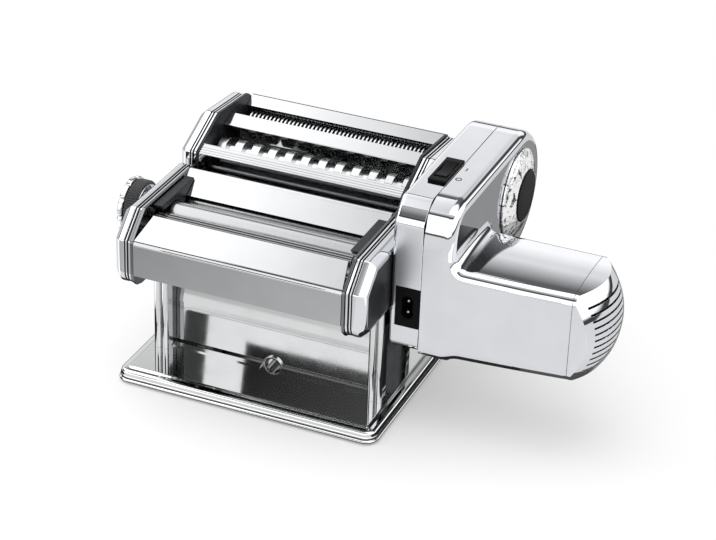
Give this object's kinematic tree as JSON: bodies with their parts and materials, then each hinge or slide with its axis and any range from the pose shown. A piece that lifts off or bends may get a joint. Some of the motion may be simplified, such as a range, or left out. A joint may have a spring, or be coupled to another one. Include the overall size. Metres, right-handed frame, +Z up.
{
  "type": "electric pasta maker",
  "caption": "Motor-driven pasta maker: smooth rollers with a gap knob on a stand, a lift-off cutter attachment with two roller pairs and a slide-off motor unit.",
  "frame": {"origin": "on the table top, under the middle of the base", "axes": "+X along the rollers towards the motor unit, +Y towards the cutter attachment, +Z up"},
  "size_m": [0.3551, 0.2245, 0.1761],
  "materials": {
    "chromed_steel": "polished",
    "bare_steel": "satin",
    "chromed_plastic": "polished",
    "dark_plastic": "matt",
    "black_plastic": "gloss",
    "rubber": "matt",
    "nylon": "satin",
    "motor_iron": "satin"
  },
  "bodies": {
    "frame": {"base_plate": "chromed_steel", "foot_front_left": "rubber", "foot_front_right": "rubber", "foot_rear_left": "rubber", "foot_rear_right": "rubber", "side_plate_left": "bare_steel", "side_plate_right": "bare_steel", "leg_front_left": "chromed_steel", "leg_front_right": "chromed_steel", "leg_rear_left": "chromed_steel", "leg_rear_right": "chromed_steel", "front_panel": "chromed_steel", "head_cover_left": "chromed_plastic", "head_cover_right": "chromed_plastic", "head_front_cover": "chromed_steel", "dough_plate": "chromed_steel", "head_rear_cover": "chromed_steel", "dough_fence_left": "dark_plastic", "dough_fence_right": "dark_plastic", "roller_scraper": "bare_steel", "tie_rod_front": "bare_steel", "tie_rod_rear": "bare_steel", "hanger_rod": "bare_steel"},
    "front_roller": {"roller_front": "bare_steel", "roller_front_wheel": "nylon", "roller_drive_wheel": "bare_steel"},
    "rear_carrier": {"rear_carrier_left": "bare_steel", "rear_bush_right": "nylon"},
    "rear_roller": {"roller_rear": "bare_steel", "roller_rear_wheel": "nylon"},
    "pinion": {"drive_pinion": "bare_steel"},
    "knob_shaft": {"knob_shaft_cam": "bare_steel"},
    "knob": {"adjusting_knob": "chromed_plastic"},
    "cutter_head": {"cutter_plate_left": "bare_steel", "cutter_plate_right": "bare_steel", "cutter_cover_left": "chromed_plastic", "cutter_cover_right": "chromed_plastic", "cutter_hood": "chromed_steel", "cutter_guide": "chromed_steel", "cutter_back_plate": "chromed_steel", "cutter_tie_rod": "bare_steel", "wide_comb": "nylon", "narrow_comb": "nylon"},
    "wide_front": {"wide_cutter_front": "bare_steel"},
    "wide_rear": {"wide_cutter_rear": "bare_steel"},
    "narrow_front": {"narrow_cutter_front": "bare_steel"},
    "narrow_rear": {"narrow_cutter_rear": "bare_steel"},
    "motor": {"motor_left_shell": "chromed_plastic", "motor_body": "chromed_plastic", "motor_end_cap": "chromed_plastic", "medallion_ring": "chromed_plastic", "medallion_badge": "black_plastic", "inlet_socket": "black_plastic", "switch_bezel": "black_plastic", "motor_stator": "bare_steel"},
    "rocker": {"switch_rocker": "black_plastic"},
    "output": {"output_shaft": "bare_steel"},
    "second_wheel": {"second_wheel_cluster": "nylon"},
    "first_wheel": {"first_wheel_cluster": "nylon"},
    "armature": {"motor_armature": "motor_iron"}
  },
  "joints": [
    {"name": "armature_spin", "type": "hinge", "parent": "motor", "child": "armature", "pos_m": [0.17, 0, 0.09725], "axis": [1, 0, 0], "continuous": true},
    {"name": "first_wheel_spin", "type": "hinge", "parent": "motor", "child": "first_wheel", "pos_m": [0.116, 0.04199, 0.10935], "axis": [1, 0, 0], "continuous": true},
    {"name": "second_wheel_spin", "type": "hinge", "parent": "motor", "child": "second_wheel", "pos_m": [0.116, 0.00291, 0.11786], "axis": [1, 0, 0], "continuous": true},
    {"name": "output_spin", "type": "hinge", "parent": "motor", "child": "output", "pos_m": [0.1, -0.01731, 0.108], "axis": [1, 0, 0], "continuous": true},
    {"name": "pinion_spin", "type": "hinge", "parent": "frame", "child": "pinion", "pos_m": [0.085, -0.01731, 0.108], "axis": [1, 0, 0], "continuous": true},
    {"name": "front_roller_spin", "type": "hinge", "parent": "frame", "child": "front_roller", "pos_m": [0, -0.0334, 0.1215], "axis": [1, 0, 0], "continuous": true},
    {"name": "knob_turn", "type": "hinge", "parent": "frame", "child": "knob_shaft", "pos_m": [-0.095, -0.024, 0.1185], "axis": [1, 0, 0], "range_deg": [0, 270]},
    {"name": "knob_pull", "type": "slide", "parent": "knob_shaft", "child": "knob", "axis": [-1, 0, 0], "range_m": [0, 0.004], "stiffness_N_per_m": 600, "springref_m": -0.002},
    {"name": "gap_slide", "type": "slide", "parent": "frame", "child": "rear_carrier", "axis": [0, -0.9903, 0.1392], "range_m": [0, 0.0042]},
    {"name": "rear_roller_spin", "type": "hinge", "parent": "rear_carrier", "child": "rear_roller", "pos_m": [0, -0.00389, 0.11735], "axis": [1, 0, 0], "continuous": true},
    {"name": "cutter_lift", "type": "slide", "parent": "frame", "child": "cutter_head", "axis": [0, 0, 1], "range_m": [0, 0.06]},
    {"name": "wide_rear_spin", "type": "hinge", "parent": "cutter_head", "child": "wide_rear", "pos_m": [0, 0.0508, 0.1355], "axis": [1, 0, 0], "continuous": true},
    {"name": "wide_front_spin", "type": "hinge", "parent": "cutter_head", "child": "wide_front", "pos_m": [0, 0.0328, 0.1355], "axis": [1, 0, 0], "continuous": true},
    {"name": "narrow_rear_spin", "type": "hinge", "parent": "cutter_head", "child": "narrow_rear", "pos_m": [0, 0.0955, 0.1385], "axis": [1, 0, 0], "continuous": true},
    {"name": "narrow_front_spin", "type": "hinge", "parent": "cutter_head", "child": "narrow_front", "pos_m": [0, 0.0775, 0.1385], "axis": [1, 0, 0], "continuous": true},
    {"name": "motor_slide", "type": "slide", "parent": "frame", "child": "motor", "axis": [1, 0, 0], "range_m": [0, 0.08]},
    {"name": "rocker_tilt", "type": "hinge", "parent": "motor", "child": "rocker", "pos_m": [0.109, 0.021, 0.1725], "axis": [1, 0, 0], "range_deg": [-12, 12]}
  ],
  "couplings": [
    {"joint": "first_wheel_spin", "follows": "armature_spin", "ratio": -0.26667},
    {"joint": "second_wheel_spin", "follows": "armature_spin", "ratio": 0.088889},
    {"joint": "output_spin", "follows": "armature_spin", "ratio": -0.059259},
    {"joint": "pinion_spin", "follows": "armature_spin", "ratio": -0.059259},
    {"joint": "front_roller_spin", "follows": "armature_spin", "ratio": 0.044444},
    {"joint": "rear_roller_spin", "follows": "armature_spin", "ratio": -0.044444},
    {"joint": "gap_slide", "follows": "knob_turn", "m_per_rad": 0.00089127},
    {"joint": "wide_front_spin", "follows": "wide_rear_spin", "ratio": -1},
    {"joint": "narrow_front_spin", "follows": "narrow_rear_spin", "ratio": -1}
  ]
}
